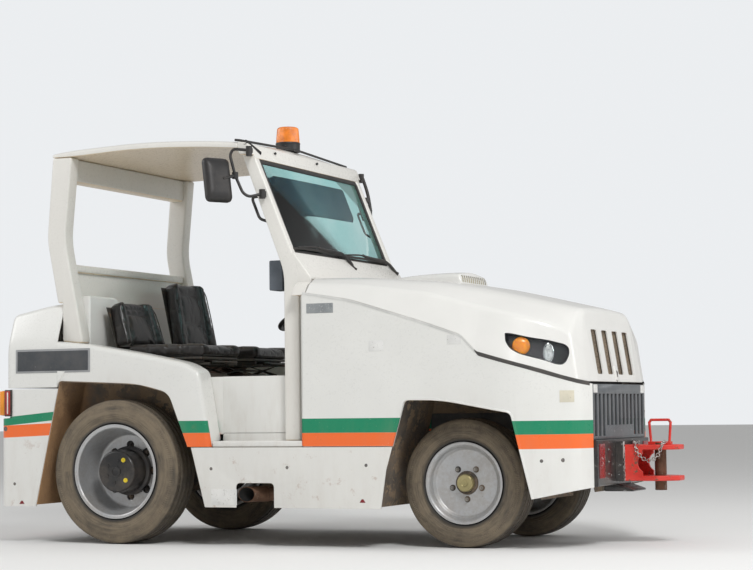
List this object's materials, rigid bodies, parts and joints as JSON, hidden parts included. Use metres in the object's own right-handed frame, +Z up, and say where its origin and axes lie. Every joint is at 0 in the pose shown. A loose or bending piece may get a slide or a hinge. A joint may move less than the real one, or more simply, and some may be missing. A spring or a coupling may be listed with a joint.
{
  "type": "aircraft tow tractor",
  "caption": "Small open-cab tow tractor with a hinged bonnet, steered front wheels, large rear wheels, a sloping windscreen and pin couplings at both ends.",
  "frame": {"origin": "on the ground under the middle of the overall box", "axes": "+X towards the bonnet and the front coupling, +Y towards the driver's side (left), +Z up"},
  "size_m": [3.88, 1.8716, 2.36],
  "materials": {
    "body_white": "sprayed white moulded panels, dusty low down",
    "cab_white": "white painted sheet steel",
    "frame_black": "black chassis paint with road dirt",
    "engine_grey": "grey painted castings",
    "cast_grey": "dark cast iron",
    "rubber_tyre": "dusty rubber",
    "rim_silver": "silver grey wheel paint",
    "hub_black": "black painted hub",
    "liner_dirty": "black liners under brown dust",
    "seat_black": "black seat covers",
    "mount_black": "black seat frames",
    "tinted_glass": "laminated glass with a green tint",
    "dash_grey": "grained dark grey plastic",
    "wheel_black": "soft black rim",
    "lamp_clear": "clear headlamp covers",
    "grille_dark": "dark grey louvre plate",
    "bumper_dark": "thick dark steel plate",
    "coupling_red": "red painted steel",
    "pin_rust": "rusty steel pin",
    "lamp_red": "red lamp lenses",
    "beacon_amber": "amber lens on a black foot",
    "mirror_black": "black plastic shells on tube arms",
    "exhaust_rust": "rusty steel tube",
    "chain_steel": "worn steel links"
  },
  "bodies": {
    "chassis": {"frame_rails": "frame_black", "cross_members": "frame_black", "power_unit": "engine_grey", "rear_axle": "cast_grey", "front_axle": "cast_grey", "rear_shell": "body_white", "rear_apron": "body_white", "wheel_houses": "liner_dirty", "side_skirts": "body_white", "cab_floor": "cab_white", "seat_platform": "cab_white", "seat_cushions": "seat_black", "seat_backs": "seat_black", "seat_mounts": "mount_black", "cab_rear_frame": "cab_white", "roof": "body_white", "windscreen_frame": "cab_white", "windscreen_glass": "tinted_glass", "dashboard": "dash_grey", "steering_wheel": "wheel_black", "front_panels": "body_white", "grille": "grille_dark", "front_bumper": "bumper_dark", "front_coupling": "coupling_red", "pin_chain": "chain_steel", "rear_coupling": "coupling_red", "tail_lamps": "lamp_red", "beacon": "beacon_amber", "mirrors": "mirror_black", "exhaust": "exhaust_rust"},
    "bonnet": {"bonnet": "body_white", "headlamps": "lamp_clear"},
    "knuckle_right": {"knuckle_right": "cast_grey"},
    "knuckle_left": {"knuckle_left": "cast_grey"},
    "wheel_rear_right": {"rear_tyre_right": "rubber_tyre", "rear_rim_right": "rim_silver", "rear_hub_right": "hub_black"},
    "wheel_rear_left": {"rear_tyre_left": "rubber_tyre", "rear_rim_left": "rim_silver", "rear_hub_left": "hub_black"},
    "wheel_front_right": {"front_tyre_right": "rubber_tyre", "front_rim_right": "rim_silver"},
    "wheel_front_left": {"front_tyre_left": "rubber_tyre", "front_rim_left": "rim_silver"},
    "tow_pin": {"tow_pin": "pin_rust"}
  },
  "joints": [
    {"name": "bonnet_lift", "type": "hinge", "parent": "chassis", "child": "bonnet", "pos_m": [0.16, 0, 1.412], "axis": [0, -1, 0], "range_deg": [0, 50]},
    {"name": "steer_left", "type": "hinge", "parent": "chassis", "child": "knuckle_left", "pos_m": [0.93, 0.37, 0.338], "axis": [0, 0, 1], "range_deg": [-35, 35]},
    {"name": "steer_right", "type": "hinge", "parent": "chassis", "child": "knuckle_right", "pos_m": [0.93, -0.37, 0.338], "axis": [0, 0, 1], "range_deg": [-35, 35]},
    {"name": "rear_wheel_right_spin", "type": "hinge", "parent": "chassis", "child": "wheel_rear_right", "pos_m": [-1.07, -0.6495, 0.4], "axis": [0, 1, 0], "continuous": true},
    {"name": "rear_wheel_left_spin", "type": "hinge", "parent": "chassis", "child": "wheel_rear_left", "pos_m": [-1.07, 0.6495, 0.4], "axis": [0, 1, 0], "continuous": true},
    {"name": "front_wheel_right_spin", "type": "hinge", "parent": "knuckle_right", "child": "wheel_front_right", "pos_m": [0.93, -0.4815, 0.338], "axis": [0, 1, 0], "continuous": true},
    {"name": "front_wheel_left_spin", "type": "hinge", "parent": "knuckle_left", "child": "wheel_front_left", "pos_m": [0.93, 0.4815, 0.338], "axis": [0, 1, 0], "continuous": true},
    {"name": "tow_pin_lift", "type": "slide", "parent": "chassis", "child": "tow_pin", "axis": [0, 0, 1], "range_m": [0, 0.2]}
  ],
  "couplings": [
    {"joint": "steer_right", "follows": "steer_left", "ratio": 1}
  ]
}
